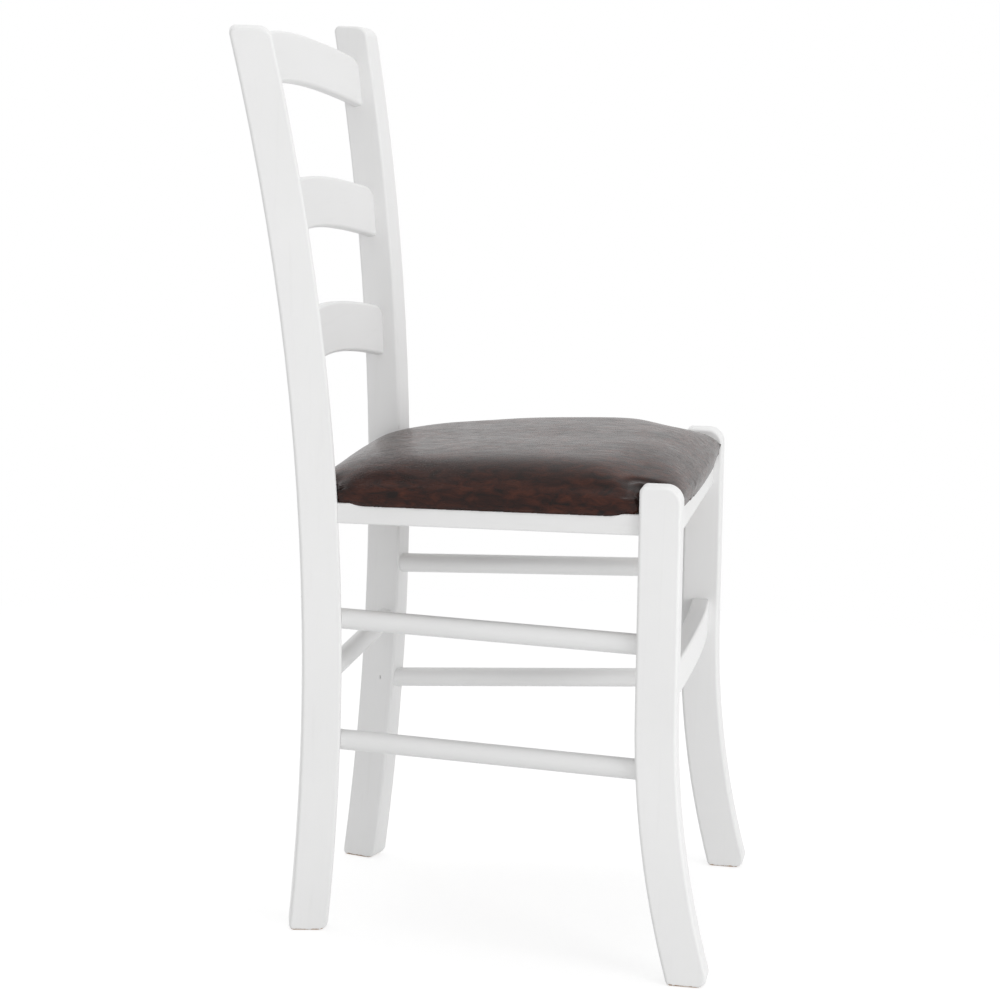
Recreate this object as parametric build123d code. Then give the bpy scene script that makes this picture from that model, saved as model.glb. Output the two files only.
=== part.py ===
from build123d import *
import os
from math import atan2, cos, degrees, radians, sin, sqrt

# A ladder-back dining chair: curved rear posts, three bent slats, turned rungs and a padded seat.
# Millimetres, +Z up, the front of the chair towards -Y. Left and right are as seen from the front.
# The pieces of the left side (-X) are modelled, and those of the right side are their mirror images.

# Overall sizes
chair_height = 884.0
front_width = 440.0          # across the outer faces of the front legs
rear_post_spacing = 342.0    # between the rear posts' centre lines at seat height
seat_frame_depth = 336.0     # between the leg and post centre lines at seat height
seat_height = 442.0          # top of the seat rails in the middle of the seat
seat_slope = 2.5             # degrees, the front edge is the higher one

# Rear posts: planks sawn to an arc, turned towards the sitter and leaning outwards
post_depth = 38.0
post_thickness = 27.0
post_curve_radius = 2800.0   # of the centre line
post_waist_height = 200.0    # where the arc stands furthest forward
post_toe_in = 15.0           # degrees, the front edges turn inwards
post_lean = 5.0              # degrees, the tops spread outwards
post_front_rounding = 14.0   # top front corner
post_back_rounding = 6.0     # top back corner

# Front legs: straight down to the bend, then sweeping forward
leg_depth = 39.5
leg_thickness = 28.0
leg_rise = 34.0              # of the tops above the seat rails
leg_rake = 1.2               # degrees, the straight part leans back
leg_bend_height = 260.0
leg_curve_radius = 950.0     # of the centre line below the bend
leg_front_rounding = 16.0
leg_back_rounding = 6.0

# Edges and feet of posts and legs
edge_rounding = 3.0
foot_front_rounding = 10.0
foot_back_rounding = 5.0

# Back slats, bent to one radius; the level of the ends and the radius of the arched edges of each
lower_slat_rise = 121.5      # above the seat rails
top_slat_drop = 60.5         # below the post tops
middle_slat_drop = 6.0       # below halfway between the other two
lower_slat_level = seat_height + lower_slat_rise
top_slat_level = chair_height - top_slat_drop
middle_slat_level = (lower_slat_level + top_slat_level) / 2 - middle_slat_drop
slats = {
    "lower_slat": (lower_slat_level, 800.0),
    "middle_slat": (middle_slat_level, 760.0),
    "top_slat": (top_slat_level, 640.0),
}
slat_height = 52.0
slat_thickness = 11.0
slat_bend_radius = 730.0     # in plan, of the middle of the thickness
slat_setback = 2.0           # behind the post's centre line
slat_upper_rounding = 20.0
slat_lower_rounding = 6.0
slat_edge_rounding = 3.0
slat_tenon_thickness = 7.0
slat_tenon_height = 32.0
slat_tenon_length = 15.0

# Rungs: turned rods with reduced ends
rung_diameter = 20.0
rung_tenon_diameter = 12.0
rung_tenon_length = 14.0
upper_rung_rear_height = 318.0
upper_rung_front_height = 324.0
lower_rung_rear_height = 196.0
lower_rung_front_height = 204.0
rear_rung_height = 260.0
rear_rung_forward = 2.5      # ahead of the post's centre line

# Front stretcher: an arched board that also bows forward
stretcher_end_height = 275.5  # middle of its ends
stretcher_height = 35.0
stretcher_thickness = 19.0
stretcher_bow_radius = 2300.0
stretcher_arch_radius = 2450.0
stretcher_edge_rounding = 2.5
stretcher_tenon_thickness = 10.0
stretcher_tenon_height = 23.0
stretcher_tenon_length = 16.0

# Seat rails and their dowels
side_rail_width = 20.0
side_rail_height = 20.0
front_rail_thickness = 20.0
front_rail_height = 32.0
rear_rail_thickness = 20.0
rear_rail_height = 20.0
rear_rail_setback = 5.0      # behind the post's centre line
rail_edge_rounding = 2.0
dowel_diameter = 6.0
dowel_length = 26.0
side_dowel_spacing = 8.0
front_dowel_spacing = 16.0
rear_dowel_spacing = 9.0

# Corner blocks under the seat, with their screws
block_leg = 62.0             # along each rail
block_height = 18.0
block_tip = 8.0              # width of its blunt ends
block_screw_offset = 42.0    # from the corner, along each rail
block_screw_bite = 12.0      # into the rail
block_screw_web = 9.0        # wood left under the head
seat_screw_offset = 22.0     # from the corner, along both rails
seat_screw_bite = 7.0        # into the seat board
screw_diameter = 4.0
screw_head_diameter = 8.0
screw_head_height = 2.5

# Padded seat
pad_overhang = 2.0           # past the side rails
pad_front_setback = 2.0      # of its front corners, behind the legs' front faces
pad_front_bow = 8.0          # of the front edge, past its corners
pad_rear_overhang = 14.0     # behind the posts' centre lines
pad_corner_radius = 26.0
pad_belt_height = 12.0       # where the seat is widest
pad_tuck = 4.0               # the sides draw in by this much under the belt
pad_crown_height = 48.0
crown_flat_width = 110.0
crown_flat_depth = 150.0
crown_front_run = 75.0       # from the front corners back to the flat crown
crown_corner_radius = 44.0
crown_roundness = 0.5        # how far the corners round off for each step towards the crown
crown_steps = 8
cover_thickness = 1.2
cover_hem = 24.0             # turned under the seat board
board_thickness = 10.0
board_inset = 6.0            # inside the pad's widest outline
lining_thickness = 0.6

# Fits
glue_gap = 0.1               # round tenons, dowels and shoulders
bore_relief = 0.6            # left free at the bottom of a bore or mortise
soft_gap = 0.3               # between the layers of the seat
notch_gap = 1.0              # between the seat and the legs and posts
screw_gap = 0.15             # round screws and their heads
board_overlap = 5.0          # slats, rails and rungs run on by this much before they are trimmed
tenon_root = 5.0             # of a tenon inside the piece that carries it

# Derived places
slope = radians(seat_slope)
leg_x = -(front_width - leg_thickness) / 2
leg_seat_y = -seat_frame_depth / 2
post_seat_y = seat_frame_depth / 2
post_x = -rear_post_spacing / 2
seat_plane = Plane(origin=(0, 0, seat_height), x_dir=(1, 0, 0), z_dir=(0, sin(slope), cos(slope)))
beyond = 2 * chair_height    # longer than anything on the chair


def rod(start, end, diameter):
    """A round bar between two points."""
    axis = end - start
    blank = Cylinder(diameter / 2, axis.length, align=(Align.CENTER, Align.CENTER, Align.MIN))
    return Plane(origin=start, z_dir=axis) * blank


def both_sides(part):
    """A left-hand piece and its mirror image."""
    return [part, mirror(part, about=Plane.YZ)]


def arch(half_width, radius):
    """Height of a round arch above its ends."""
    return radius - sqrt(radius ** 2 - half_width ** 2)


def standing_plank(plank):
    """A sawn plank cut off at the floor, with the ends of its sole and then its long edges rounded."""
    plank = split(plank, bisect_by=Plane.XY, keep=Keep.TOP)
    for end, rounding in ((0, foot_front_rounding), (-1, foot_back_rounding)):
        sole = plank.faces().sort_by(Axis.Z)[0]
        plank = fillet(sole.edges().sort_by(Axis.Y)[end], rounding)
    sides = plank.faces().sort_by(SortBy.AREA)[-2:]
    return fillet(sides.edges(), edge_rounding)


# Rear posts
toe = radians(post_toe_in)
lean = radians(post_lean)
post_back = Vector(-sin(toe), cos(toe), 0)
post_inward = Vector(cos(toe), sin(toe), 0)
post_up = Vector(0, 0, 1) * cos(lean) - post_inward * sin(lean)
post_plane = Plane(origin=(post_x, post_seat_y, seat_height), x_dir=post_back, z_dir=post_back.cross(post_up))
waist = (post_waist_height - seat_height) / cos(lean)
curve_centre = sqrt(post_curve_radius ** 2 - waist ** 2)


def post_arc(along, ahead):
    """Place across the plank, at a height along it, of the arc that lies ahead of the centre line."""
    return curve_centre - sqrt((post_curve_radius + ahead) ** 2 - (along - waist) ** 2)


def post_frame(height):
    """A frame on the post's centre line: X inwards, Y backwards, Z along the post."""
    along = (height - seat_height) / cos(lean)
    tilt = (along - waist) / post_curve_radius
    origin = post_plane.from_local_coords((post_arc(along, 0), along, 0))
    along_post = post_plane.x_dir * tilt + post_plane.y_dir * sqrt(1 - tilt ** 2)
    return Plane(origin=origin, x_dir=post_plane.z_dir, z_dir=along_post)


def post_blank(grow=0.0):
    """The plank before its mortises, larger all round by grow."""
    half_depth = post_depth / 2 + grow
    thickness = post_thickness + 2 * grow
    top = (chair_height - post_thickness / 2 * sin(lean)) / cos(lean) - seat_height / cos(lean) + grow
    bottom = -seat_height / cos(lean) - post_depth
    middle = (top + bottom) / 2
    front_edge = [(post_arc(z, half_depth), z) for z in (bottom, middle, top)]
    back_edge = [(post_arc(z, -half_depth), z) for z in (top, middle, bottom)]
    outline = [ThreePointArc(*front_edge), Line(front_edge[-1], back_edge[0])]
    outline += [ThreePointArc(*back_edge), Line(back_edge[-1], front_edge[0])]
    face = make_face(outline)
    corners = face.vertices().sort_by(Axis.Y)[-2:].sort_by(Axis.X)
    face = fillet(corners[:1], post_front_rounding)
    face = fillet(face.vertices().sort_by(Axis.X)[-1:], post_back_rounding)
    return standing_plank(post_plane * extrude(face, thickness / 2, both=True))


# Front legs
rake = radians(leg_rake)
leg_bend_y = leg_seat_y - (seat_height - leg_bend_height) * sin(rake) / cos(rake)
leg_plane = Plane(
    origin=(leg_x, leg_bend_y, leg_bend_height), x_dir=(0, cos(rake), -sin(rake)), z_dir=(1, 0, 0)
)


def leg_arc(along, ahead):
    """Place across the leg, at a height along it, of the line that lies ahead of the centre line."""
    if along >= 0:
        return -ahead
    return sqrt((leg_curve_radius - ahead) ** 2 - along ** 2) - leg_curve_radius


def leg_point(height):
    """A point of the leg's centre line."""
    along = (height - leg_bend_height) / cos(rake)
    return leg_plane.from_local_coords((leg_arc(along, 0), along, 0))


def leg_blank(grow=0.0):
    """The leg before its mortises, larger all round by grow."""
    half_depth = leg_depth / 2 + grow
    thickness = leg_thickness + 2 * grow
    top = (seat_height + leg_rise - leg_bend_height) / cos(rake) + grow
    bottom = -leg_bend_height / cos(rake) - leg_depth / 2
    front_edge = [(leg_arc(z, half_depth), z) for z in (bottom, bottom / 2, 0)]
    back_edge = [(leg_arc(z, -half_depth), z) for z in (0, bottom / 2, bottom)]
    front_top = (-half_depth, top)
    back_top = (half_depth, top)
    outline = [ThreePointArc(*front_edge), Line(front_edge[-1], front_top), Line(front_top, back_top)]
    outline += [Line(back_top, back_edge[0]), ThreePointArc(*back_edge), Line(back_edge[-1], front_edge[0])]
    face = make_face(outline)
    corners = face.vertices().sort_by(Axis.Y)[-2:].sort_by(Axis.X)
    face = fillet(corners[:1], leg_front_rounding)
    corner = face.vertices().group_by(Axis.Y)[-1].sort_by(Axis.X)[-1]
    face = fillet(corner, leg_back_rounding)
    return standing_plank(leg_plane * extrude(face, thickness / 2, both=True))


left_post_blank = post_blank()
left_leg_blank = leg_blank()
post_trim = both_sides(post_blank(glue_gap))
leg_trim = both_sides(leg_blank(glue_gap))
post_cuts = []
leg_cuts = []
parts = {}


# Back slats
def bent_board(half_width, height, thickness, bend_radius, arch_radius, upper_rounding=0.0, lower_rounding=0.0):
    """An arched board, bent in plan with its bow towards +Y; its ends run on past half_width."""
    reach = half_width + board_overlap
    rise = arch(half_width, arch_radius)
    end = rise - arch(reach, arch_radius)
    upper = [(reach, end + height / 2), (0, rise + height / 2), (-reach, end + height / 2)]
    lower = [(-reach, end - height / 2), (0, rise - height / 2), (reach, end - height / 2)]
    edges = [ThreePointArc(*lower), Line(lower[-1], upper[0])]
    edges += [ThreePointArc(*upper), Line(upper[-1], lower[0])]
    face = make_face(edges)
    if upper_rounding:
        face = fillet(face.vertices().group_by(Axis.Y)[-1], upper_rounding)
    if lower_rounding:
        face = fillet(face.vertices().group_by(Axis.Y)[0], lower_rounding)
    front_view = extrude(Plane.XZ * face, bend_radius / 2, both=True)
    bow = arch(half_width, bend_radius)
    ring = Circle(bend_radius + thickness / 2) - Circle(bend_radius - thickness / 2)
    plan = extrude(Pos(0, bow - bend_radius) * ring, height + rise, both=True)
    return front_view & plan


def rounded_board(board, radius):
    """The board with its long edges rounded."""
    longest = board.edges().sort_by(SortBy.LENGTH)[-4:]
    return fillet(longest, radius)


def tenon(frame, length, inside, thickness, height, across=0.0):
    """A tenon that points along -X of the frame, rooted inside the piece that carries it."""
    block = Box(length + inside, thickness, height, align=(Align.MAX, Align.CENTER, Align.CENTER))
    return frame * (Pos(inside, across, 0) * block)


for name, (level, arch_radius) in slats.items():
    frame = post_frame(level)
    seat_frame = Plane(
        origin=frame.from_local_coords((post_thickness / 2, slat_setback, 0)),
        x_dir=frame.x_dir, z_dir=frame.z_dir,
    )
    end = seat_frame.origin
    slat_plane = Plane(origin=(0, end.Y, end.Z), x_dir=(1, 0, 0), z_dir=(0, frame.z_dir.Y, frame.z_dir.Z))
    board = bent_board(
        -end.X, slat_height, slat_thickness, slat_bend_radius, arch_radius,
        slat_upper_rounding, slat_lower_rounding,
    )
    board = slat_plane * rounded_board(board, slat_edge_rounding)
    peg = tenon(seat_frame, slat_tenon_length, tenon_root, slat_tenon_thickness, slat_tenon_height)
    parts[name] = board - post_trim + both_sides(peg)
    post_cuts.append(
        tenon(
            seat_frame, slat_tenon_length + bore_relief, tenon_root,
            slat_tenon_thickness + 2 * glue_gap, slat_tenon_height + 2 * glue_gap,
        )
    )


# Rungs
def rung(start, end, trims):
    """A turned rung between two points of the pieces that it meets, with fitted shoulders, and its bore."""
    axis = (end - start).normalized()
    shouldered = rod(start - axis * board_overlap, end, rung_diameter) - trims
    faces = sorted((vertex.center() - start).dot(axis) for vertex in shouldered.vertices())
    tip = start + axis * (faces[0] - rung_tenon_length)
    far_tip = start + axis * (faces[-1] + rung_tenon_length)
    bore = rod(tip - axis * bore_relief, far_tip + axis * bore_relief, rung_tenon_diameter + 2 * glue_gap)
    return shouldered + rod(tip, far_tip, rung_tenon_diameter), bore


side_rungs = {
    "upper_rung": (upper_rung_rear_height, upper_rung_front_height),
    "lower_rung": (lower_rung_rear_height, lower_rung_front_height),
}
for name, (rear_height, front_height) in side_rungs.items():
    post_face = post_frame(rear_height).from_local_coords((0, -post_depth / 2, 0))
    left, bore = rung(post_face, leg_point(front_height), [post_trim[0], leg_trim[0]])
    parts[name + "_left"], parts[name + "_right"] = both_sides(left)
    post_cuts.append(bore)
    leg_cuts.append(bore)

rear_rung_end = post_frame(rear_rung_height).from_local_coords((0, -rear_rung_forward, 0))
rear_rung_far_end = Vector(-rear_rung_end.X, rear_rung_end.Y, rear_rung_end.Z)
parts["rear_rung"], rear_bore = rung(rear_rung_end, rear_rung_far_end, post_trim)
post_cuts.append(rear_bore)

# Front stretcher
stretcher_end = leg_point(stretcher_end_height) + Vector(leg_thickness / 2, 0, 0)
stretcher_plane = Plane(origin=(0, stretcher_end.Y, stretcher_end.Z), x_dir=(-1, 0, 0), z_dir=(0, 0, 1))
board = bent_board(
    -stretcher_end.X, stretcher_height, stretcher_thickness, stretcher_bow_radius, stretcher_arch_radius
)
board = stretcher_plane * rounded_board(board, stretcher_edge_rounding)
stretcher_frame = Plane(origin=stretcher_end, x_dir=(1, 0, 0), z_dir=(0, 0, 1))
peg = tenon(
    stretcher_frame, stretcher_tenon_length, tenon_root, stretcher_tenon_thickness, stretcher_tenon_height
)
parts["front_stretcher"] = board - leg_trim + both_sides(peg)
leg_cuts.append(
    tenon(
        stretcher_frame, stretcher_tenon_length + bore_relief, tenon_root,
        stretcher_tenon_thickness + 2 * glue_gap, stretcher_tenon_height + 2 * glue_gap,
    )
)

# Seat rails, laid out on the sloping seat plane
side_start = Vector(leg_x, leg_seat_y, 0)
side_end = Vector(post_x, post_seat_y, 0) - post_back * post_depth / 2
side_run = side_end - side_start
side_axis = side_run.normalized()
side_inward = Vector(side_axis.Y, -side_axis.X, 0)
side_spread = 1 / side_axis.Y          # widens what is measured square to the side rail
rear_rail_y = post_seat_y + rear_rail_setback


def seat_point(x, y, z):
    return seat_plane.from_local_coords((x, y, z))


def side_x(y, inwards):
    """Place across the seat, at a depth y, of the line that lies inwards of the side rail's middle."""
    return leg_x + (y - leg_seat_y) * side_axis.X / side_axis.Y + inwards * side_spread


def rail(length, thickness, height):
    """A rail along X under the seat plane, with its long edges rounded."""
    bar = Box(length, thickness, height, align=(Align.CENTER, Align.CENTER, Align.MAX))
    return fillet(bar.edges().filter_by(Axis.X), rail_edge_rounding)


side_length = side_run.length + board_overlap
side_blank = Rot(0, 0, degrees(atan2(side_axis.Y, side_axis.X))) * rail(
    side_length, side_rail_width, side_rail_height
)
side_blank = seat_plane * (Pos(side_start + side_axis * side_length / 2) * side_blank)
front_blank = seat_plane * (Pos(0, leg_seat_y, 0) * rail(-2 * leg_x, front_rail_thickness, front_rail_height))
rear_blank = seat_plane * (Pos(0, rear_rail_y, 0) * rail(-2 * post_x, rear_rail_thickness, rear_rail_height))
left_rail = side_blank - [post_trim[0], leg_trim[0]]
front_rail = front_blank - leg_trim
rear_rail = rear_blank - post_trim

# Dowels that join the rails to the legs and posts
half_dowel = dowel_length / 2
side_drop = Vector(0, 0, -side_rail_height / 2)
face_skew = side_inward.dot(post_back) / side_axis.dot(post_back)
dowel_ends = []
for offset in (-side_dowel_spacing / 2, side_dowel_spacing / 2):
    from_leg = side_start + side_drop + side_inward * offset + side_axis * leg_depth / 2 / side_axis.Y
    from_post = side_end + side_drop + side_inward * offset - side_axis * offset * face_skew
    dowel_ends.append((from_leg, side_axis))
    dowel_ends.append((from_post, side_axis))
for offset in (-front_dowel_spacing / 2, front_dowel_spacing / 2):
    face = Vector(leg_x + leg_thickness / 2, leg_seat_y, offset - front_rail_height / 2)
    dowel_ends.append((face, Vector(1, 0, 0)))
for offset in (-rear_dowel_spacing / 2, rear_dowel_spacing / 2):
    back = rear_rail_setback + offset
    face_x = post_x + post_thickness / 2 / cos(toe) - back * sin(toe) / cos(toe)
    dowel_ends.append((Vector(face_x, rear_rail_y + offset, -rear_rail_height / 2), Vector(1, 0, 0)))

dowels = []
dowel_bores = []
for middle, axis in dowel_ends:
    start = seat_plane.from_local_coords(middle - axis * half_dowel)
    end = seat_plane.from_local_coords(middle + axis * half_dowel)
    relief = (end - start).normalized() * bore_relief
    dowels += both_sides(rod(start, end, dowel_diameter))
    dowel_bores.append(rod(start - relief, end + relief, dowel_diameter + 2 * glue_gap))
post_cuts += dowel_bores
leg_cuts += dowel_bores
rear_and_front_bores = [bore for blank in dowel_bores for bore in both_sides(blank)]
left_rail -= dowel_bores
front_rail -= rear_and_front_bores
rear_rail -= rear_and_front_bores
parts["rail_dowels"] = Compound(dowels)

# Corner blocks: glued into the rails' corners, with a web of wood under every screw head
across = Vector(1, 0, 0)
block_corners = {
    "front": (leg_seat_y + front_rail_thickness / 2 + glue_gap, side_axis, leg_trim[0]),
    "rear": (rear_rail_y - rear_rail_thickness / 2 - glue_gap, -side_axis, post_trim[0]),
}
block_drop = -block_height / 2
block_screws = []
seat_screws = []
seat_screw_bores = []


def screw(seat, axis, length):
    """A pan-head screw whose head rests at seat, driven along axis, with its hole and its head's pocket."""
    point = seat + axis * length
    top = seat - axis * screw_head_height
    hole = rod(seat, point + axis * bore_relief, screw_diameter + 2 * screw_gap)
    pocket = rod(seat - axis * block_leg, seat, screw_head_diameter + 2 * screw_gap)
    return rod(seat, point, screw_diameter) + rod(top, seat, screw_head_diameter), hole, pocket


for end_name, (corner_y, along, trim) in block_corners.items():
    corner = Vector(side_x(corner_y, side_rail_width / 2 + glue_gap), corner_y, 0)
    outline = [
        corner, corner + along * block_leg, corner + along * block_leg + across * block_tip,
        corner + across * block_leg + along * block_tip, corner + across * block_leg,
    ]
    sketch = make_face(Polyline(*outline, close=True))
    block = seat_plane * extrude(sketch, block_height, dir=(0, 0, -1)) - trim
    side_seat = corner + along * block_screw_offset + side_inward * block_screw_web
    end_inward = across.cross(Vector(0, 0, 1)) * (1 if end_name == "rear" else -1)
    end_seat = corner + across * block_screw_offset + end_inward * block_screw_web
    for seat, inward in ((side_seat, side_inward), (end_seat, end_inward)):
        driven = seat_plane.from_local_coords(-inward) - seat_plane.origin
        made, hole, pocket = screw(
            seat_point(seat.X, seat.Y, block_drop), driven, block_screw_web + glue_gap + block_screw_bite
        )
        block -= [hole, pocket]
        left_rail -= hole
        front_rail -= both_sides(hole)
        rear_rail -= both_sides(hole)
        block_screws += both_sides(made)
    upright = corner + (along + across) * seat_screw_offset
    made, hole, pocket = screw(
        seat_point(upright.X, upright.Y, -block_height), seat_plane.z_dir,
        block_height + cover_thickness + glue_gap + seat_screw_bite,
    )
    block -= hole
    seat_screws += both_sides(made)
    seat_screw_bores += both_sides(hole)
    parts[f"corner_block_{end_name}_left"], parts[f"corner_block_{end_name}_right"] = both_sides(block)

parts["corner_block_screws"] = Compound(block_screws)
parts["seat_screws"] = Compound(seat_screws)
parts["left_seat_rail"], parts["right_seat_rail"] = both_sides(left_rail)
parts["front_seat_rail"] = front_rail
parts["rear_seat_rail"] = rear_rail

# Padded seat, laid out on the seat plane
pad_front = leg_seat_y - leg_depth / 2 + pad_front_setback
pad_rear = post_seat_y + pad_rear_overhang
pad_side = -side_rail_width / 2 - pad_overhang
crown_front = pad_front + crown_front_run
crown_rear = crown_front + crown_flat_depth
board_bottom = cover_thickness + glue_gap
board_top = board_bottom + board_thickness
hem_inset = pad_tuck + cover_hem


def pad_outline(inset, rise=0.0):
    """The seat's plan, drawn in by inset; rise goes from 0 at the sides to 1 at the flat crown."""
    corners = []
    for side_y, crown_y in ((pad_front + inset, crown_front), (pad_rear - inset, crown_rear)):
        edge_x = side_x(side_y, pad_side + inset)
        corners.append((edge_x + (-crown_flat_width / 2 - edge_x) * rise, side_y + (crown_y - side_y) * rise))
    front_left, rear_left = corners
    front_right, rear_right = [(-x, y) for x, y in corners]
    front_middle = (0, front_left[1] - pad_front_bow * (1 - rise / 2))
    edges = [ThreePointArc(front_left, front_middle, front_right), Line(front_right, rear_right)]
    edges += [Line(rear_right, rear_left), Line(rear_left, front_left)]
    widest = crown_corner_radius - (front_left[0] + crown_flat_width / 2) * crown_roundness
    rounding = pad_corner_radius + (widest - pad_corner_radius) * (1 - (1 - rise) ** 3)
    face = make_face(edges)
    return fillet(face.vertices(), rounding)


def pad_form(shrink):
    """The crowned seat with tucked-in sides, smaller all round by shrink."""
    sections = [Pos(0, 0, shrink) * pad_outline(pad_tuck + shrink)]
    for step in range(crown_steps + 1):
        turn = radians(90 * step / crown_steps)
        height = pad_belt_height + (pad_crown_height - shrink - pad_belt_height) * sin(turn)
        sections.append(Pos(0, 0, height) * pad_outline(shrink, 1 - cos(turn)))
    return seat_plane * loft(sections, ruled=True)


def pad_slab(inset, bottom, top):
    """A flat layer of the seat."""
    return seat_plane * (Pos(0, 0, bottom) * extrude(pad_outline(inset), top - bottom))


def corner_cut(gap):
    """A block without end whose rounded edge stands along Z, for the notch round a leg or post."""
    block = Box(beyond, beyond, beyond, align=(Align.MAX, Align.MIN, Align.CENTER))
    edge = block.edges().filter_by(Axis.Z).group_by(Axis.X)[-1].sort_by(Axis.Y)[0]
    return fillet(edge, edge_rounding + gap)


def pad_notches(gap):
    """What the legs and posts take out of the seat's corners, with a gap round them."""
    cut = corner_cut(gap)
    at_post = post_frame(seat_height + post_seat_y * -sin(slope)) * (
        Pos(post_thickness / 2 + gap, -post_depth / 2 - gap, 0) * cut
    )
    at_leg = Plane(origin=leg_point(seat_height), x_dir=(1, 0, 0), z_dir=-leg_plane.y_dir) * (
        Pos(leg_thickness / 2 + gap, -leg_depth / 2 - gap, 0) * cut
    )
    return both_sides(at_post) + both_sides(at_leg)


cover_inside = pad_form(cover_thickness) - pad_notches(notch_gap + cover_thickness)
hem_opening = pad_slab(hem_inset, -cover_thickness, board_bottom) - pad_notches(notch_gap + cover_hem / 2)
parts["seat_cover"] = pad_form(0) - pad_notches(notch_gap) - cover_inside - hem_opening - seat_screw_bores
wrapped_gap = notch_gap + cover_thickness + soft_gap
board = pad_slab(board_inset, board_bottom, board_top) - pad_notches(wrapped_gap)
parts["seat_board"] = board - seat_screw_bores
foam = pad_form(cover_thickness + soft_gap) - pad_notches(wrapped_gap)
parts["seat_foam"] = split(foam, bisect_by=seat_plane.offset(board_top + soft_gap), keep=Keep.TOP)
lining = pad_slab(hem_inset + soft_gap, board_bottom - lining_thickness, board_bottom)
lining -= pad_notches(notch_gap + cover_hem / 2 + soft_gap)
parts["seat_lining"] = lining - seat_screw_bores

# Posts and legs with all their mortises and bores
for name, cuts, blank in (("rear_post", post_cuts, left_post_blank), ("front_leg", leg_cuts, left_leg_blank)):
    parts[name + "_left"], parts[name + "_right"] = both_sides(blank - cuts)

# The origin goes under the middle of the chair
front_end = parts["front_leg_left"].bounding_box().min.Y
rear_end = parts["top_slat"].bounding_box().max.Y
to_origin = Pos(0, -(front_end + rear_end) / 2, 0)
os.makedirs("parts", exist_ok=True)
for name, part in parts.items():
    export_step(to_origin * part, f"parts/{name}.step")
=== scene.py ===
from math import cos, radians, sin

import bmesh
import bpy
import numpy as np
from mathutils import Matrix, Vector, noise
from mathutils.bvhtree import BVHTree
from mathutils.kdtree import KDTree


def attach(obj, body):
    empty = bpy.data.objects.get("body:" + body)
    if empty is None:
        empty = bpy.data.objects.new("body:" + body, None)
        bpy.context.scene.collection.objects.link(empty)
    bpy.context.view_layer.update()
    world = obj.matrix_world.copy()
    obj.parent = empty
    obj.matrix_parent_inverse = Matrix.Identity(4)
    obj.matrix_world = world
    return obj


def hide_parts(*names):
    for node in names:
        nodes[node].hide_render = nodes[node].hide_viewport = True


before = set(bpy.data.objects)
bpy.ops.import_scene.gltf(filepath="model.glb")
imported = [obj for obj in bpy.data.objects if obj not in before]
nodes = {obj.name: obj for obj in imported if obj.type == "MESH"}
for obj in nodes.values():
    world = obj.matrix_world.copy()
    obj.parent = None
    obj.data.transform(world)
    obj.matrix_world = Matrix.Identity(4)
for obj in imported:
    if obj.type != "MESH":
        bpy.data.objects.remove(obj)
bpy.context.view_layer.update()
scene = bpy.context.scene
scene.view_settings.view_transform = "Standard"

# The seat plane, which slopes down to the back. All lengths are in metres
SEAT_SLOPE = radians(2.5)
SEAT_HEIGHT = 0.442
SEAT_FORWARD = -0.018954     # of the seat plane's origin
# On the seat plane: the front legs' faces and the room left at them, and the rear posts
LEG_INNER, LEG_BACK, LEG_GAP = 0.192, -0.14825, 0.0006
POST_CENTRE, POST_HALF, POST_TOE = (0.171, 0.168), (0.0135, 0.019), radians(15)


def placed(name, data):
    """A new object in the scene."""
    made = bpy.data.objects.new(name, data)
    scene.collection.objects.link(made)
    return made


# Materials
MIX_FACTOR, MIX_FIRST, MIX_SECOND, MIX_RESULT = 0, 6, 7, 2     # sockets of a mix of colours


def add(tree, kind, links=None, **settings):
    """A shader node: settings are its properties, links its inputs as values or as other nodes' outputs."""
    made = tree.nodes.new("ShaderNode" + kind)
    for name, value in settings.items():
        setattr(made, name, value)
    for name, value in (links or {}).items():
        socket = made.inputs[name]
        if isinstance(value, bpy.types.NodeSocket):
            tree.links.new(value, socket)
        else:
            socket.default_value = value
    return made


def material(name):
    """A new material, its node tree and its principled shader."""
    made = bpy.data.materials.new(name)
    made.use_nodes = True
    return made, made.node_tree, made.node_tree.nodes["Principled BSDF"]


def place(tree, scale=(1, 1, 1)):
    """Object coordinates in metres, stretched by scale."""
    coordinates = add(tree, "TexCoord").outputs["Object"]
    return add(tree, "Mapping", {"Vector": coordinates, "Scale": scale}).outputs[0]


def clouds(tree, stretch=(1, 1, 1), **inputs):
    """Noise over stretched object coordinates; inputs are named as the noise's sockets are."""
    return add(tree, "TexNoise", {"Vector": place(tree, stretch), **inputs}).outputs[0]


def cells(tree, stretch=(1, 1, 1), scale=1.0, feature="F1"):
    """Distances in a pattern of cells over stretched object coordinates."""
    links = {"Vector": place(tree, stretch), "Scale": scale}
    return add(tree, "TexVoronoi", links, feature=feature).outputs["Distance"]


def ramp(tree, value, stops):
    """Colours along a value."""
    made = add(tree, "ValToRGB", {"Fac": value})
    elements = made.color_ramp.elements
    while len(elements) < len(stops):
        elements.new(0.5)
    for element, (position, colour) in zip(elements, stops):
        element.position = position
        element.color = (*colour, 1)
    return made.outputs["Color"]


def spread(tree, value, low, high, to_low, to_high):
    """A value mapped from one range to another."""
    return add(
        tree, "MapRange",
        {"Value": value, "From Min": low, "From Max": high, "To Min": to_low, "To Max": to_high},
    ).outputs["Result"]


def mix(tree, factor, first, second):
    """Two colours mixed by another node's output."""
    made = add(tree, "Mix", {MIX_FACTOR: factor}, data_type="RGBA")
    for socket, value in ((made.inputs[MIX_FIRST], first), (made.inputs[MIX_SECOND], second)):
        if isinstance(value, bpy.types.NodeSocket):
            tree.links.new(value, socket)
        else:
            socket.default_value = (*value, 1)
    return made.outputs[MIX_RESULT]


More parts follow.
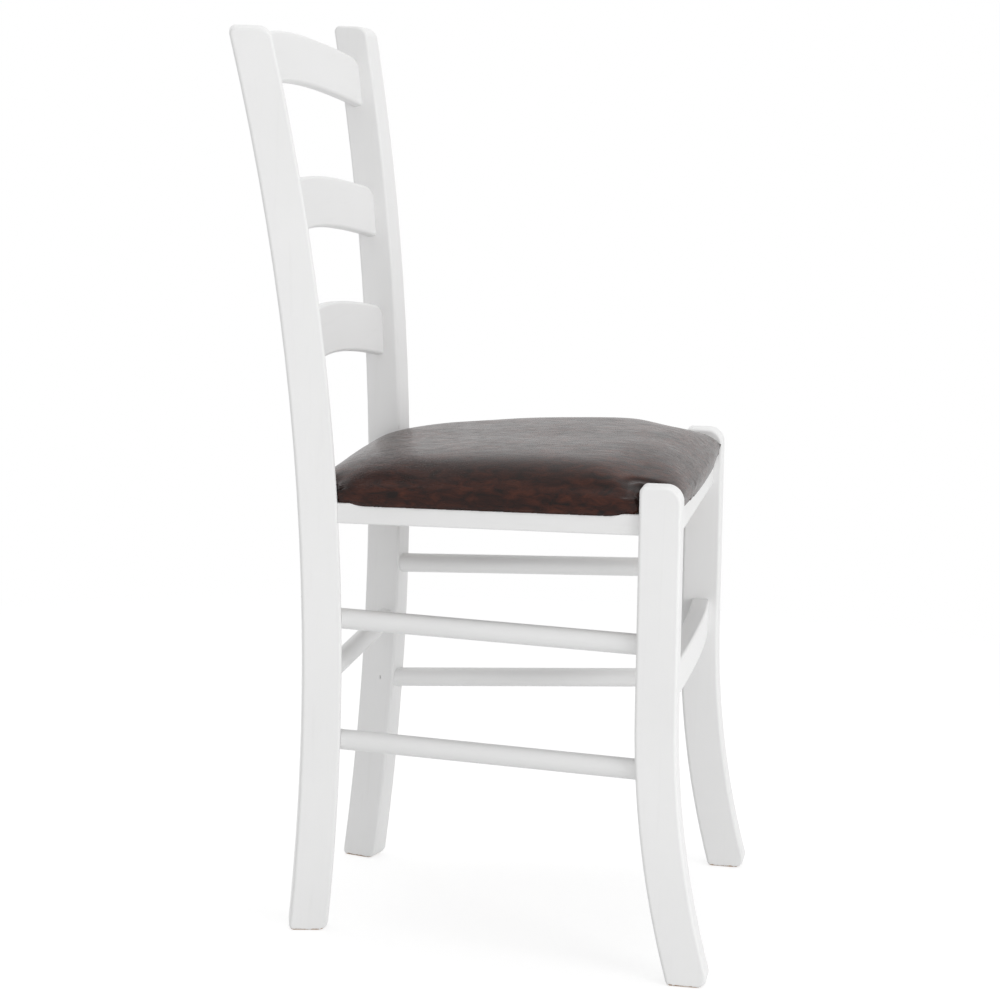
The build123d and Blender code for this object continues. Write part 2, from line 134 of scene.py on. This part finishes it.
def bump(tree, height, strength, distance, under=None):
    """A bumped normal, on top of another one."""
    links = {"Height": height, "Strength": strength, "Distance": distance}
    if under is not None:
        links["Normal"] = under
    return add(tree, "Bump", links).outputs["Normal"]


def white_lacquer(name, along):
    """Sprayed satin white over wood whose pores run along one axis; the soles' edges are rubbed bare."""
    made, tree, shader = material(name)
    white, whiter, pore = (0.845, 0.845, 0.843), (0.87, 0.87, 0.868), (0.72, 0.715, 0.70)
    dark_wood, light_wood = (0.30, 0.17, 0.09), (0.48, 0.31, 0.18)
    rubbed_from, rubbed_to, ragged_by = 0.0010, 0.0019, 0.0009     # heights above the floor
    stretch = [150.0, 150.0, 150.0]
    stretch[along] = 5.0
    pores = clouds(tree, stretch, Scale=1.0, Detail=5.0, Roughness=0.6)
    peel = clouds(tree, Scale=420.0, Detail=2.0)
    broad = clouds(tree, Scale=9.0, Detail=3.0)
    fine = clouds(tree, Scale=260.0, Detail=3.0)
    tone = ramp(tree, broad, [(0.3, white), (0.7, whiter)])
    tone = mix(tree, spread(tree, pores, 0.32, 0.44, 0.1, 0.0), tone, pore)
    height = add(tree, "SeparateXYZ", {"Vector": place(tree)}).outputs["Z"]
    ragged = spread(tree, fine, 0.3, 0.7, -ragged_by, ragged_by)
    level = add(tree, "Math", {0: ragged, 1: height}, operation="ADD").outputs[0]
    wood = ramp(tree, pores, [(0.35, dark_wood), (0.65, light_wood)])
    tone = mix(tree, spread(tree, level, rubbed_from, rubbed_to, 1.0, 0.0), tone, wood)
    tree.links.new(tone, shader.inputs["Base Color"])
    tree.links.new(spread(tree, broad, 0.3, 0.7, 0.34, 0.46), shader.inputs["Roughness"])
    relief = bump(tree, pores, strength=0.10, distance=0.0004)
    relief = bump(tree, peel, strength=0.06, distance=0.0003, under=relief)
    tree.links.new(relief, shader.inputs["Normal"])
    shader.inputs["Specular IOR Level"].default_value = 0.45
    shader.inputs["Coat Weight"].default_value = 0.08
    shader.inputs["Coat Roughness"].default_value = 0.25
    return made


def bare_wood(name, dark, light, along):
    """Planed wood without a finish, its grain along one axis."""
    made, tree, shader = material(name)
    stretch = [70.0, 70.0, 70.0]
    stretch[along] = 4.0
    finer_by = 6
    grain = clouds(tree, stretch, Scale=1.0, Detail=6.0, Roughness=0.65)
    flecks = clouds(tree, [s * finer_by for s in stretch], Scale=1.0, Detail=2.0)
    tone = ramp(tree, grain, [(0.3, dark), (0.7, light)])
    tone = mix(tree, spread(tree, flecks, 0.62, 0.72, 0.0, 0.45), tone, dark)
    tree.links.new(tone, shader.inputs["Base Color"])
    tree.links.new(spread(tree, grain, 0.3, 0.7, 0.75, 0.6), shader.inputs["Roughness"])
    relief = bump(tree, grain, strength=0.25, distance=0.0006)
    tree.links.new(relief, shader.inputs["Normal"])
    return made


def leatherette(name):
    """Glossy dark brown imitation leather with a reddish mottle and a fine streaky grain."""
    made, tree, shader = material(name)
    dark, brown, reddish = (0.009, 0.0036, 0.0028), (0.031, 0.0080, 0.0046), (0.064, 0.0170, 0.0083)
    cloud_tone, streak_tone = (0.016, 0.0065, 0.0050), (0.008, 0.004, 0.0034)
    mottle = clouds(tree, (78, 52, 140), Scale=1.0, Detail=6.0, Roughness=0.62, Distortion=0.7)
    cloud = clouds(tree, (16, 10, 22), Scale=1.0, Detail=3.0)
    streak = clouds(tree, (190, 55, 260), Scale=1.0, Detail=5.0, Distortion=0.9)
    crackle = cells(tree, (150, 60, 150), feature="DISTANCE_TO_EDGE")
    pebble = cells(tree, scale=620.0, feature="DISTANCE_TO_EDGE")
    tone = ramp(tree, mottle, [(0.36, dark), (0.50, brown), (0.68, reddish)])
    tone = mix(tree, spread(tree, cloud, 0.40, 0.64, 0.0, 0.6), tone, cloud_tone)
    tone = mix(tree, spread(tree, streak, 0.58, 0.70, 0.0, 0.55), tone, streak_tone)
    tree.links.new(tone, shader.inputs["Base Color"])
    tree.links.new(spread(tree, streak, 0.3, 0.7, 0.22, 0.34), shader.inputs["Roughness"])
    relief = bump(tree, streak, strength=0.16, distance=0.0006)
    cracks = spread(tree, crackle, 0.0, 0.06, 0.0, 1.0)
    relief = bump(tree, cracks, strength=0.10, distance=0.0004, under=relief)
    relief = bump(tree, pebble, strength=0.07, distance=0.0002, under=relief)
    tree.links.new(relief, shader.inputs["Normal"])
    shader.inputs["Specular IOR Level"].default_value = 0.235
    return made


def zinc(name):
    """Bright plated steel with faint cloudiness."""
    made, tree, shader = material(name)
    dull, bright = (0.52, 0.52, 0.50), (0.72, 0.72, 0.70)
    cloud = clouds(tree, Scale=500.0, Detail=3.0)
    tree.links.new(ramp(tree, cloud, [(0.3, dull), (0.7, bright)]), shader.inputs["Base Color"])
    tree.links.new(spread(tree, cloud, 0.3, 0.7, 0.3, 0.5), shader.inputs["Roughness"])
    shader.inputs["Metallic"].default_value = 1.0
    return made


def dust_cloth(name):
    """Black non-woven cloth with loose fibres."""
    made, tree, shader = material(name)
    black, grey = (0.010, 0.010, 0.011), (0.045, 0.045, 0.047)
    fibre = clouds(tree, (900, 250, 900), Scale=1.0, Detail=4.0, Distortion=2.0)
    dots = cells(tree, scale=420.0)
    tree.links.new(ramp(tree, fibre, [(0.35, black), (0.7, grey)]), shader.inputs["Base Color"])
    shader.inputs["Roughness"].default_value = 0.85
    relief = bump(tree, fibre, strength=0.4, distance=0.0003)
    relief = bump(tree, dots, strength=0.3, distance=0.0003, under=relief)
    tree.links.new(relief, shader.inputs["Normal"])
    return made


lacquer_along = [white_lacquer("white_lacquer_" + axis, index) for index, axis in enumerate("xyz")]
beech = bare_wood("bare_beech", dark=(0.40, 0.24, 0.13), light=(0.60, 0.41, 0.25), along=0)
plywood = bare_wood("plywood", dark=(0.42, 0.28, 0.15), light=(0.58, 0.42, 0.26), along=1)
leather = leatherette("leatherette")
plated = zinc("zinc_plate")
lining_cloth = dust_cloth("dust_cloth")

GRAIN = {     # the axis along which each lacquered piece's pores run
    "rear_post": 2, "front_leg": 2, "top_slat": 0, "middle_slat": 0, "lower_slat": 0,
    "front_seat_rail": 0, "rear_seat_rail": 0, "left_seat_rail": 1, "right_seat_rail": 1,
    "upper_rung": 1, "lower_rung": 1, "rear_rung": 0, "front_stretcher": 0,
}
finish = {"corner_block": beech, "rail_dowels": beech, "seat_board": plywood, "seat_screws": plated}
finish["corner_block_screws"] = plated
for stem, axis in GRAIN.items():
    finish[stem] = lacquer_along[axis]
for name, node in nodes.items():
    stems = [stem for stem in finish if name.startswith(stem)]
    if stems:
        node.data.materials.clear()
        node.data.materials.append(finish[max(stems, key=len)])


# Seat: everything about it is laid out in seat coordinates, which lie on the seat plane
seat_axes = Matrix.Translation((0, SEAT_FORWARD, SEAT_HEIGHT)) @ Matrix.Rotation(-SEAT_SLOPE, 4, "X")
to_seat = seat_axes.inverted()

VOXEL = 0.004                          # of the pad's first mesh
SLACK = 0.0018                         # by which the pad's upper part is first taken in
SWELL = 0.0022                         # the most that it is then blown up by
CLOTH_FRAMES = 20
HELD_BELOW = 0.006                     # the pad's lower edge, which isn't blown up
BELT_LOW, BELT_HIGH = 0.008, 0.016     # where the pad's sides stand out most
UNDERSIDE = 0.0025                     # anything lower belongs to it
OVER_LINING, OVER_RAILS = 0.0016, 0.0002     # heights at which it lies
LINING_RIM, LINING_SAG, LINING_THICKNESS = 0.0006, 0.0022, 0.0005
LINING_NET = 0.008                     # the width of its faces


def piece(name, mesh, finish_material):
    """A new object of the chair."""
    made = placed(name, mesh)
    mesh.materials.clear()
    mesh.materials.append(finish_material)
    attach(made, "root")
    return made


def evaluated_mesh(holder):
    """The mesh of an object with its modifiers applied."""
    bpy.context.view_layer.update()
    graph = bpy.context.evaluated_depsgraph_get()
    return bpy.data.meshes.new_from_object(holder.evaluated_get(graph))


def points_of(mesh, kind="co"):
    """Where the vertices are, or another of their vectors."""
    flat = np.empty(len(mesh.vertices) * 3)
    mesh.vertices.foreach_get(kind, flat)
    return flat.reshape(-1, 3)


def set_points(mesh, points):
    """The vertices moved to points."""
    mesh.vertices.foreach_set("co", points.astype(np.float32).ravel())
    mesh.update()


def neighbours(mesh):
    """Start and end vertices of all edges, and the number of edges at each vertex."""
    flat = np.empty(len(mesh.edges) * 2, dtype=np.int64)
    mesh.edges.foreach_get("vertices", flat)
    ends = flat.reshape(-1, 2)
    return ends, np.maximum(np.bincount(ends.ravel(), minlength=len(mesh.vertices)), 1)


def smoothed(points, net, rounds):
    """Points drawn half-way to the mean of their neighbours in each round."""
    ends, counts = net
    for _ in range(rounds):
        total = np.zeros_like(points)
        np.add.at(total, ends[:, 0], points[ends[:, 1]])
        np.add.at(total, ends[:, 1], points[ends[:, 0]])
        points = points + 0.5 * (total / counts[:, None] - points)
    return points


def evened(points, net, rounds, share):
    """Points moved by their own share of the way to where smoothing takes them."""
    return points + share[:, None] * (smoothed(points, net, rounds) - points)


def limited(moves, most):
    """Moves cut down to a greatest length."""
    length = np.linalg.norm(moves, axis=1)
    return moves * (np.minimum(length, most) / np.maximum(length, 1e-9))[:, None]


def bell(value, middle, width):
    """1 at the middle, falling off over the width."""
    return np.exp(-((value - middle) / width) ** 2)


def rising(value, start, span):
    """0 up to the start, then straight up to 1 over the span."""
    return np.clip((value - start) / span, 0.0, 1.0)


def eased(value, low, high):
    """0 below low, 1 above high, smooth between."""
    share = np.clip((value - low) / (high - low), 0, 1)
    return share * share * (3 - 2 * share)


def between(value, entry, leaving):
    """Eased in over one range and out over a higher one."""
    return eased(value, *entry) * (1 - eased(value, *leaving))


def uneven(points, scale, seed):
    """Smooth noise at the points, about -0.5 to 0.5."""
    return np.array([noise.noise((p[0] * scale + seed, p[1] * scale, p[2] * scale)) for p in points])


def padded_core():
    """Cover, foam and board as one closed mesh in seat coordinates, its upper part taken in."""
    shape = bmesh.new()
    for name in ("seat_cover", "seat_foam", "seat_board"):
        shape.from_mesh(nodes[name].data)
    shape.transform(to_seat)
    mesh = bpy.data.meshes.new("seat_core")
    shape.to_mesh(mesh)
    shape.free()
    holder = placed("seat_core", mesh)
    remesh = holder.modifiers.new("skin", "REMESH")
    remesh.mode = "VOXEL"
    remesh.voxel_size = VOXEL
    core = evaluated_mesh(holder)
    bpy.data.objects.remove(holder)
    points = points_of(core)
    even = evened(points, neighbours(core), rounds=5, share=rising(points[:, 2], 0.003, 0.008))
    set_points(core, even)
    slack = SLACK * rising(even[:, 2:], 0.012, 0.012)
    set_points(core, even - slack * points_of(core, "normal"))
    return core


def inflated(core):
    """The core's skin after it swells under pressure."""
    holder = placed("seat_skin", core)
    before = points_of(core)
    held = holder.vertex_groups.new(name="held")
    held.add([int(i) for i in np.flatnonzero(before[:, 2] < HELD_BELOW)], 1.0, "REPLACE")
    cloth = holder.modifiers.new("cloth", "CLOTH")
    cloth.settings.quality = 5
    cloth.settings.mass = 0.3
    cloth.settings.use_pressure = True
    cloth.settings.uniform_pressure_force = 4.0
    cloth.settings.effector_weights.gravity = 0.0
    cloth.settings.vertex_group_mass = "held"
    cloth.settings.bending_stiffness = 2.0
    cloth.point_cache.frame_start = 1
    cloth.point_cache.frame_end = CLOTH_FRAMES
    for number in range(1, CLOTH_FRAMES + 1):
        scene.frame_set(number)
    swollen = evaluated_mesh(holder)
    after = points_of(swollen)
    bpy.data.objects.remove(holder)
    scene.frame_set(1)
    moves = limited(after - before, SWELL)
    set_points(swollen, before + smoothed(moves, neighbours(swollen), rounds=24))
    return swollen


def calmed(mesh):
    """The pad's ripples smoothed away above its lower edge."""
    points = points_of(mesh)
    share = rising(points[:, 2], 0.003, 0.010)
    set_points(mesh, evened(points, neighbours(mesh), rounds=8, share=share))


def finer(mesh):
    """The mesh divided once, smoothly."""
    holder = placed("seat_skin", mesh)
    holder.modifiers.new("finer", "SUBSURF").levels = 1
    divided = evaluated_mesh(holder)
    bpy.data.objects.remove(holder)
    return divided


def half_width(points):
    """Half the seat's width at each point's place along it, from the straight part of its sides."""
    straight_reach, step_count, step_half = 0.12, 13, 0.01
    belt = points[(points[:, 2] > BELT_LOW) & (points[:, 2] < BELT_HIGH)]
    steps = np.linspace(-straight_reach, straight_reach, step_count)
    widest = [np.abs(belt[np.abs(belt[:, 1] - y) < step_half, 0]).max() for y in steps]
    slope, middle = np.polyfit(steps, widest, 1)
    return middle + slope * points[:, 1]


def drawn_over(mesh):
    """The top drawn flat across the seat, with full sides, a lower back and soft rear corners."""
    flatter, flatter_above = 0.06, 0.014
    shoulder_rise, shoulder_inset, shoulder_share = 0.0065, 0.030, 0.85
    dip, dip_at, dip_width = 0.0040, 0.072, 0.050
    corner_at, corner_width = (0.140, 0.110), 0.055
    points, net = points_of(mesh), neighbours(mesh)
    inset = np.maximum(half_width(points) - np.abs(points[:, 0]), 0) / shoulder_inset
    on_top = eased(points[:, 2], 0.012, 0.026)
    amid = between(points[:, 1], (-0.150, -0.095), (0.090, 0.150))
    points[:, 2] -= flatter * np.maximum(points[:, 2] - flatter_above, 0)
    points[:, 2] += shoulder_rise * inset * np.exp(1 - inset) * on_top * amid
    points[:, 2] -= dip * bell(points[:, 1], dip_at, dip_width) * on_top
    from_corner = np.hypot(np.abs(points[:, 0]) - corner_at[0], points[:, 1] - corner_at[1])
    corner = bell(from_corner, 0, corner_width) * eased(points[:, 2], 0.010, 0.018)
    points = evened(points, net, rounds=60, share=corner)
    shoulder = shoulder_share * eased(points[:, 2], 0.013, 0.026)
    points = evened(points, net, rounds=24, share=shoulder)
    set_points(mesh, points)


def from_leg(points):
    """Distance in plan from the inner and back faces of the nearer front leg."""
    beside = np.maximum(LEG_INNER - np.abs(points[:, 0]), 0)
    behind = np.maximum(points[:, 1] - LEG_BACK, 0)
    return np.hypot(beside, behind)


def from_post(points):
    """Distance in plan from the inner and front faces of the nearer rear post."""
    x, y = np.abs(points[:, 0]) - POST_CENTRE[0], points[:, 1] - POST_CENTRE[1]
    inward = np.maximum(-x * cos(POST_TOE) + y * sin(POST_TOE) - POST_HALF[0], 0)
    ahead = np.maximum(-x * sin(POST_TOE) - y * cos(POST_TOE) - POST_HALF[1], 0)
    return np.hypot(inward, ahead)


def out_to_cover(mesh):
    """The lower walls at legs and posts brought out to the CAD cover, so that its corners stay full."""
    behind_wall, search, beyond_hit, past_cover = 0.003, 0.009, 0.00005, 0.0002
    wall_foot, level_normal = 0.0012, 0.8
    cover = BVHTree.FromObject(nodes["seat_cover"], bpy.context.evaluated_depsgraph_get())
    points, normals = points_of(mesh), points_of(mesh, "normal")
    near = 1 - eased(np.minimum(from_leg(points), from_post(points)), 0.006, 0.012)
    near *= 1 - eased(points[:, 2], 0.011, 0.019)
    walls = (points[:, 2] > wall_foot) & (near > 0) & (np.abs(normals[:, 2]) < level_normal)
    for i in np.flatnonzero(walls):
        outward = Vector((normals[i, 0], normals[i, 1], 0)).normalized()
        start = Vector(points[i]) - outward * behind_wall
        ray = seat_axes.to_3x3() @ outward
        reached = 0.0
        edge = 0.0
        while True:
            origin = seat_axes @ (start + outward * reached)
            hit, face_normal, _, distance = cover.ray_cast(origin, ray, search - reached)
            if hit is None:
                break
            reached += distance + beyond_hit
            if face_normal.dot(ray) > 0:
                edge = reached
        points[i] += near[i] * np.array(outward) * max(edge - behind_wall + past_cover, 0.0)
    set_points(mesh, points)


def rounded_at_legs(points, net):
    """The pad's corners at the front legs rounded off, most of all at the top."""
    reach, fade = 0.016, 0.010
    least_room, more_on_top = 0.0006, 0.007
    soft = np.clip((reach - from_leg(points)) / fade, 0, 1) * rising(points[:, 2], 0.002, 0.006)
    rounded = points
    for _ in range(5):
        rounded = evened(rounded, net, rounds=4, share=soft)
    room = least_room + more_on_top * eased(points[:, 2], 0.012, 0.024)
    return points + limited(rounded - points, room)


def kept_off_legs(points):
    """What has come into a front leg moved out through the nearer of its two faces."""
    inside = (np.abs(points[:, 0]) > LEG_INNER - LEG_GAP) & (points[:, 1] < LEG_BACK + LEG_GAP)
    shallow = np.abs(points[:, 0]) - LEG_INNER < LEG_BACK - points[:, 1]
    aside, back = inside & shallow, inside & ~shallow
    points[aside, 0] = np.sign(points[aside, 0]) * (LEG_INNER - LEG_GAP)
    points[back, 1] = LEG_BACK + LEG_GAP


def flat_underneath(points, under):
    """The underside laid just over the dust cover and the rails."""
    below, search = -0.02, 0.04
    upward = seat_axes.to_3x3() @ Vector((0, 0, 1))
    opening = BVHTree.FromObject(nodes["seat_lining"], bpy.context.evaluated_depsgraph_get())
    for i in np.flatnonzero(under):
        low = seat_axes @ Vector((points[i, 0], points[i, 1], below))
        hit = opening.ray_cast(low, upward, search)[0]
        points[i, 2] = OVER_LINING if hit else OVER_RAILS


def stretched_over_legs(mesh):
    """The leatherette rounded and creased at the front legs, and flat underneath."""
    lip_height, knob_height, ridge_height = 0.0018, 0.0024, 0.0007
    pucker_height, wander_height = 0.0009, 0.0005
    points = points_of(mesh)
    gap = from_leg(points)
    rounded = rounded_at_legs(points, neighbours(mesh))
    set_points(mesh, rounded)
    normals = points_of(mesh, "normal")
    along, up = rounded[:, 1], rounded[:, 2]
    on_top = rising(normals[:, 2], 0.2, 0.4)
    on_side = np.clip((0.75 - np.abs(normals[:, 2])) / 0.3, 0, 1)
    lip = lip_height * bell(gap, 0.006, 0.004) - lip_height * bell(gap, 0.015, 0.004)
    lip *= eased(along, -0.185, -0.160)
    knob = knob_height * bell(along, -0.1345, 0.0075) * bell(up, 0.0170, 0.0085)
    ridge = ridge_height * bell(up, 0.0165, 0.0028) * (0.7 + uneven(rounded, scale=14, seed=3.0))
    pucker = pucker_height * bell(up, 0.004, 0.005) * uneven(rounded, scale=55, seed=8.0)
    wander = wander_height * uneven(rounded, scale=17, seed=20.0) * rising(up, 0.0, 0.02)
    shaped = rounded + normals * (on_top * lip + on_side * (ridge + pucker + knob) + wander)[:, None]
    kept_off_legs(shaped)
    flat_underneath(shaped, up < UNDERSIDE)
    set_points(mesh, shaped)


def bulged(mesh):
    """The sides evened, and filled out under the belt as far as the rails' outer edges."""
    wall_reach, wall_foot, wall_top, wall_depth = 0.14, 0.0022, 0.032, 0.026
    fill, fill_low, fill_below = 0.0010, 0.0034, 0.012
    sag = 0.0025
    points = points_of(mesh)
    inset = half_width(points) - np.abs(points[:, 0])
    wall = between(points[:, 1], (-0.135, -0.115), (0.115, 0.135))
    wall *= between(points[:, 2], (wall_foot, 0.0065), (0.020, 0.030))
    low_side = (inset < wall_depth) & (np.abs(points[:, 1]) < wall_reach)
    low_side &= (points[:, 2] > wall_foot) & (points[:, 2] < wall_top)
    for side in (-1, 1):
        chosen = np.flatnonzero(low_side & (np.sign(points[:, 0]) == side))
        along, up = points[chosen, 1] / wall_reach, points[chosen, 2] / wall_top
        powers = np.stack([along ** i * up ** j for i in range(4) for j in range(6)], axis=1)
        even = powers @ np.linalg.lstsq(powers, inset[chosen], rcond=None)[0]
        points[chosen, 0] -= side * wall[chosen] * (even - inset[chosen])
    amid = between(points[:, 1], (-0.145, -0.115), (0.118, 0.144))
    beside = amid * (1 - eased(inset, 0.0050, 0.0090)) * (1 - eased(points[:, 2], 0.012, 0.024))
    low = np.clip(1 - points[:, 2] / fill_below, 0, 1)
    points[:, 0] += np.sign(points[:, 0]) * beside * (fill + fill_low * low)
    lower_edge = amid * (1 - eased(inset, 0.0040, 0.0060)) * (1 - eased(points[:, 2], 0.0, 0.014))
    points[:, 2] -= sag * lower_edge
    set_points(mesh, points)


core = padded_core()
core = inflated(core)
calmed(core)
drawn_over(core)
core = finer(core)
out_to_cover(core)
stretched_over_legs(core)
bulged(core)
core.transform(seat_axes)
cushion = piece("seat_cushion", core, leather)
core.polygons.foreach_set("use_smooth", [True] * len(core.polygons))
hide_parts("seat_cover", "seat_foam")


def dust_cover():
    """The lining's underside as an even net of faces that sags a little inside its rim."""
    downward, same_plane = -0.9, 0.02
    sag_from, sag_over = 0.03, 0.10
    wrinkle_scale, wrinkle_depth, wrinkle_from = 26, 0.0006, 0.02
    cloth = bmesh.new()
    cloth.from_mesh(nodes["seat_lining"].data)
    cloth.transform(to_seat)
    cloth.normal_update()
    others = [face for face in cloth.faces if face.normal.z > downward]
    bmesh.ops.delete(cloth, geom=others, context="FACES")
    bmesh.ops.dissolve_limit(cloth, angle_limit=same_plane, verts=cloth.verts, edges=cloth.edges)
    for axis, low, high in ((0, -0.19, 0.19), (1, -0.17, 0.16)):
        along = Vector((1 - axis, axis, 0))
        for cut_at in np.arange(low, high, LINING_NET):
            everything = list(cloth.verts) + list(cloth.edges) + list(cloth.faces)
            bmesh.ops.bisect_plane(cloth, geom=everything, plane_co=along * float(cut_at), plane_no=along)
    rim = [vertex.co.copy() for vertex in cloth.verts if vertex.is_boundary]
    outline = KDTree(len(rim))
    for i, at in enumerate(rim):
        outline.insert(at, i)
    outline.balance()
    for vertex in cloth.verts:
        inset = outline.find(vertex.co)[2]
        slack = float(rising(inset, sag_from, sag_over))
        wrinkle = noise.noise(vertex.co * wrinkle_scale) * wrinkle_depth * min(inset / wrinkle_from, 1.0)
        sag = LINING_SAG * slack * slack * (3 - 2 * slack)
        vertex.co.z = LINING_RIM - sag + min(wrinkle, 0.0) * slack
    cloth.transform(seat_axes)
    mesh = bpy.data.meshes.new("seat_dust_cover")
    cloth.to_mesh(mesh)
    cloth.free()
    return mesh


lining = piece("seat_dust_cover", dust_cover(), lining_cloth)
thick = lining.modifiers.new("thickness", "SOLIDIFY")
thick.thickness = LINING_THICKNESS
thick.offset = -1.0
lining.data.polygons.foreach_set("use_smooth", [True] * len(lining.data.polygons))
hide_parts("seat_lining")


# Studio: pale floor, soft light, camera at the photograph's angle
WHITE = (1, 1, 1, 1)
ROOM_LIGHT = 0.64
FLOOR_HALF = 9
FLOOR_GREY, FLOOR_SHADE, FLOOR_GLOW = (0.8, 0.8, 0.8, 1), (0.42, 0.42, 0.42, 1), 0.70
FLOOR_NEAR, FLOOR_FAR = 0.7, 1.6     # the floor fades to pure white between them
CAMERA_AT = (-2.8773, -0.46715, 0.8995)
AZIMUTH, PITCH, ROLL = radians(9.11), radians(8.96), radians(2.04)
FOCAL_LENGTH, SENSOR_WIDTH = 105.53, 36.0     # in millimetres
SHIFT = (-0.00526, -0.0208)


def only_seen(tree):
    """1 for rays from the camera and for what shows in gloss and glass."""
    path = add(tree, "LightPath").outputs
    seen = add(tree, "Math", {0: path["Is Camera Ray"], 1: path["Is Glossy Ray"]}, operation="MAXIMUM")
    seen = add(tree, "Math", {0: seen.outputs[0], 1: path["Is Transmission Ray"]}, operation="MAXIMUM")
    return seen.outputs[0]


world = bpy.data.worlds.new("studio")
scene.world = world
world.use_nodes = True
sky = world.node_tree
room = add(sky, "Background", {"Color": WHITE, "Strength": ROOM_LIGHT})
white = add(sky, "Background", {"Color": WHITE, "Strength": 1.0})
choice = add(sky, "MixShader", {0: only_seen(sky), 1: room.outputs[0], 2: white.outputs[0]})
sky.links.new(choice.outputs[0], sky.nodes["World Output"].inputs["Surface"])

floor_mesh = bpy.data.meshes.new("floor")
corners = [(FLOOR_HALF * x, FLOOR_HALF * y, 0) for x, y in ((-1, -1), (1, -1), (1, 1), (-1, 1))]
floor_mesh.from_pydata(corners, [], [(0, 1, 2, 3)])
floor = placed("floor", floor_mesh)
floor_material, tree, shader = material("floor")
shader.inputs["Base Color"].default_value = FLOOR_GREY
shader.inputs["Roughness"].default_value = 0.9
shader.inputs["Specular IOR Level"].default_value = 0.0
shade = add(tree, "BsdfDiffuse", {"Color": FLOOR_SHADE})
glow = add(tree, "Emission", {"Color": WHITE, "Strength": FLOOR_GLOW})
near = add(tree, "AddShader", {0: shade.outputs[0], 1: glow.outputs[0]})
far = add(tree, "Emission", {"Color": WHITE, "Strength": 1.0})
reach = add(tree, "VectorMath", {0: place(tree)}, operation="LENGTH").outputs["Value"]
fading = spread(tree, reach, FLOOR_NEAR, FLOOR_FAR, 0.0, 1.0)
paper = add(tree, "MixShader", {0: fading, 1: near.outputs[0], 2: far.outputs[0]})
choice = add(tree, "MixShader", {0: only_seen(tree), 1: shader.outputs[0], 2: paper.outputs[0]})
tree.links.new(choice.outputs[0], tree.nodes["Material Output"].inputs["Surface"])
floor_mesh.materials.append(floor_material)


def softbox(name, at, towards, size, power):
    """A square area light aimed at a point, and not seen in gloss."""
    lamp = bpy.data.lights.new(name, "AREA")
    lamp.size = size
    lamp.energy = power
    holder = placed(name, lamp)
    holder.location = at
    holder.rotation_euler = (Vector(towards) - Vector(at)).to_track_quat("-Z", "Y").to_euler()
    holder.visible_glossy = False


softbox("key", at=(-2.0, -3.0, 1.1), towards=(0, 0, 0.5), size=1.6, power=42)
softbox("side", at=(-3.4, -0.4, 1.3), towards=(0, 0, 0.45), size=2.6, power=10)
softbox("top", at=(0.6, 0.4, 3.4), towards=(0, 0, 0.4), size=2.6, power=24)

forward = Vector((cos(AZIMUTH) * cos(PITCH), sin(AZIMUTH) * cos(PITCH), -sin(PITCH)))
level = Vector((sin(AZIMUTH), -cos(AZIMUTH), 0))
upright = level.cross(forward)
right = level * cos(ROLL) + upright * sin(ROLL)
up = upright * cos(ROLL) - level * sin(ROLL)
lens = bpy.data.cameras.new("camera")
lens.sensor_width = SENSOR_WIDTH
lens.lens = FOCAL_LENGTH
lens.shift_x, lens.shift_y = SHIFT
lens.clip_end = 50.0
camera = placed("camera", lens)
turn = Matrix((right, up, -forward)).transposed().to_4x4()
camera.matrix_world = Matrix.Translation(CAMERA_AT) @ turn
scene.camera = camera
